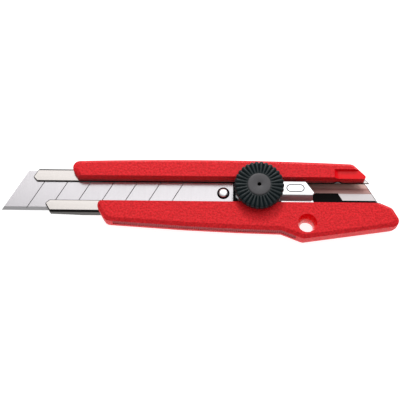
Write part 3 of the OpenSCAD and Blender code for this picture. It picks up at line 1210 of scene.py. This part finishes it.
class KNIFE_OT_lock_wheel(bpy.types.Operator):
    """Lock wheel: one ridge is shaped, and its copies are turned round the axis and joined"""

    bl_idname = "knife.lock_wheel"
    bl_label = "Lock wheel"

    def execute(self, context):
        shape = context.scene.knife_shape
        low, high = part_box("lock_knob")
        centre = middle("lock_knob")
        rim = (high.x - low.x) / 2 / MM
        base, top = low.z / MM, high.z / MM
        pitch = FULL_TURN / shape.ridge_count
        profile = [
            (HUB_BORE, base),
            (COLLAR_RADIUS, base),
            (COLLAR_RADIUS, base + 0.6),
            (rim - 1.1, base + 0.6),
            (rim - 0.35, base + 0.85),
            (rim, base + 1.3),
            (rim, top - 0.95),
            (rim - 0.12, top - 0.5),
            (rim - 0.45, top - 0.16),
            (rim - 1.0, top),
            (7.4, top),
            (6.0, top - 0.02),
            (5.25, top - 0.05),
            (CAP_SEAT_RADIUS, top - 0.1),
            (CAP_SEAT_RADIUS, top - 0.25),
            (HUB_BORE, top - 0.25),
        ]
        # The spin runs clockwise, so the section starts at the far side of the ridge.
        wheel = half_section("lock_wheel", profile, centre, pitch / 2)
        edit(wheel)
        bpy.ops.mesh.spin(
            steps=STEPS_PER_RIDGE, angle=pitch, center=centre, axis=(0, 0, 1)
        )
        bpy.ops.object.mode_set(mode="OBJECT")

        def on_line(turn, inner):
            def wanted(place):
                across = place.xy - centre.xy
                return (
                    abs(math.atan2(across.y, across.x) - turn) < SAME_LINE * pitch
                    and across.length > inner * MM
                    and place.z > (base + GROOVE_FOOT) * MM
                )

            return wanted

        for share, drop in GROOVE_SHAPE:
            for turn in (-share * pitch / 2, share * pitch / 2):
                select_points(wheel, on_line(turn, GROOVE_START))
                bpy.ops.transform.translate(value=(0, 0, -drop * shape.ridge_depth))
                select_points(wheel, on_line(turn, rim - SCALLOP_WIDTH))
                inwards = Vector((-math.cos(turn), -math.sin(turn), 0.0))
                bpy.ops.transform.translate(value=inwards * drop * shape.scallop_depth)
        edit(wheel)
        for _ in range(shape.ridge_count - 1):
            bpy.ops.mesh.duplicate()
            bpy.ops.transform.rotate(
                value=pitch, orient_axis="Z", center_override=centre
            )
        bpy.ops.object.mode_set(mode="OBJECT")
        tidy(wheel)
        bpy.ops.object.shade_smooth_by_angle(angle=WHEEL_SMOOTH_BELOW)
        paint(wheel, black_moulded_plastic())
        stand_in(wheel, "knob", "black_plastic", "lock_knob")
        return {"FINISHED"}


class KNIFE_OT_wheel_cap(bpy.types.Operator):
    """Cap in the middle of the lock wheel, painted grey as a painted sheen, with a small centre
    hole
    """

    bl_idname = "knife.wheel_cap"
    bl_label = "Wheel cap"

    def execute(self, context):
        low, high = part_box("knob_cap")
        radius = (high.x - low.x) / 2 / MM
        foot, top = low.z / MM, high.z / MM
        profile = [
            (CAP_HOLE_RADIUS, foot),
            (radius, foot),
            (radius, top - 0.28),
            (radius - 0.08, top - 0.14),
            (radius - 0.28, top - 0.04),
            (radius - 0.7, top),
            (CAP_HOLE_RADIUS + 0.25, top),
            (CAP_HOLE_RADIUS + 0.08, top - 0.06),
            (CAP_HOLE_RADIUS, top - 0.18),
        ]
        cap = turned("wheel_cap", profile, middle("knob_cap"), steps=64)
        paint(cap, cap_painted_sheen())
        stand_in(cap, "knob", "grey_plastic", "knob_cap")
        return {"FINISHED"}


class KNIFE_OT_fittings(bpy.types.Operator):
    """Finishes for the small fittings that keep their CAD shape"""

    bl_idname = "knife.fittings"
    bl_label = "Fittings"

    def execute(self, context):
        for node in ("sheath_rivets", "plain_washer"):
            coat(node, zinc_plated_steel())
        # Stud and carriage are painted near black as painted shade for the openings over them.
        for node in ("clamp_stud", "carriage_base"):
            coat(node, stud_and_carriage_shade())
        for node in ("spring_washer", "carriage_spring", "retaining_clip"):
            coat(node, blued_spring_steel())
        for node in ("knob_nut", "spring_rivets"):
            coat(node, turned_brass())
        for node in ("channel_liner", "guide_shoe"):
            coat(node, near_black_matt())
        return {"FINISHED"}


# ---------------------------------------------------------------------------
# Studio


def add_lamp(name, power, size, place):
    """Adds a rectangular lamp that faces the middle of the table."""
    data = bpy.data.lights.new(name, "AREA")
    data.shape = "RECTANGLE"
    data.size, data.size_y = size
    data.energy = power
    lamp = new_object(name, data)
    lamp.location = place
    lamp.rotation_euler = (-Vector(place)).to_track_quat("-Z", "Y").to_euler()


class KNIFE_OT_stage(bpy.types.Operator):
    """White light table, white room, panel light, key light and camera"""

    bl_idname = "knife.stage"
    bl_label = "Stage"

    def execute(self, context):
        scene = context.scene
        stage = scene.knife_stage

        bpy.ops.object.select_all(action="DESELECT")
        bpy.ops.mesh.primitive_plane_add(size=TABLE_SIZE, location=(0, 0, -TABLE_GAP))
        floor = context.object
        floor.name = "light_table"
        floor.data.materials.append(light_table_white())

        world = bpy.data.worlds.new("White room")
        world.use_nodes = True
        backdrop = world.node_tree.nodes["Background"]
        backdrop.inputs["Color"].default_value = (1.0, 1.0, 1.0, 1.0)
        backdrop.inputs["Strength"].default_value = stage.surround
        scene.world = world

        add_lamp("Panel light", stage.panel_power, PANEL_SIZE, PANEL_PLACE)
        add_lamp("Key light", stage.key_power, KEY_SIZE, KEY_PLACE)

        camera_data = bpy.data.cameras.new("Camera")
        camera_data.lens = stage.camera_lens
        camera_data.sensor_width = 36.0
        camera_data.clip_start = 0.01
        camera_data.clip_end = 10.0
        camera = new_object("Camera", camera_data)
        tilt = Matrix.Rotation(stage.camera_tilt, 4, "X")
        roll = Matrix.Rotation(stage.camera_roll, 4, "Z")
        back = tilt @ Vector((0, 0, stage.camera_distance))
        camera.location = Vector(stage.view_centre) + back
        camera.rotation_euler = (tilt @ roll).to_euler()
        scene.camera = camera

        scene.view_settings.view_transform = "Standard"
        return {"FINISHED"}


# ---------------------------------------------------------------------------
# Panel and registration

BUILD_ORDER = (
    KNIFE_OT_handle_moulding,
    KNIFE_OT_grip_strip,
    KNIFE_OT_steel_channel,
    KNIFE_OT_snap_blade,
    KNIFE_OT_blade_pin,
    KNIFE_OT_slider_casting,
    KNIFE_OT_lock_wheel,
    KNIFE_OT_wheel_cap,
    KNIFE_OT_fittings,
    KNIFE_OT_stage,
)


class KNIFE_PT_panel(bpy.types.Panel):
    """Lists the knife's pieces and settings in the sidebar"""

    bl_idname = "KNIFE_PT_panel"
    bl_label = "Snap-off Knife"
    bl_space_type = "VIEW_3D"
    bl_region_type = "UI"
    bl_category = "Knife"

    def draw(self, context):
        layout = self.layout
        scene = context.scene
        for operator in BUILD_ORDER:
            layout.operator(operator.bl_idname)
        for settings in (scene.knife_shape, scene.knife_finish, scene.knife_stage):
            box = layout.box()
            for name in settings.bl_rna.properties.keys():
                if name not in ("rna_type", "name"):
                    box.prop(settings, name)


SETTINGS = {
    "knife_shape": KnifeShapeSettings,
    "knife_finish": KnifeFinishSettings,
    "knife_stage": KnifeStageSettings,
}
CLASSES = (*SETTINGS.values(), *BUILD_ORDER, KNIFE_PT_panel)


def register():
    """Registers every class and puts the settings on the scene."""
    for cls in CLASSES:
        bpy.utils.register_class(cls)
    for name, group in SETTINGS.items():
        setattr(bpy.types.Scene, name, bpy.props.PointerProperty(type=group))


def unregister():
    """Takes the settings off the scene and removes every class."""
    for name in SETTINGS:
        delattr(bpy.types.Scene, name)
    for cls in reversed(CLASSES):
        bpy.utils.unregister_class(cls)


def main():
    """Builds every piece and the stage."""
    register()
    for operator in BUILD_ORDER:
        group, name = operator.bl_idname.split(".")
        getattr(getattr(bpy.ops, group), name)()


if __name__ == "__main__":
    main()
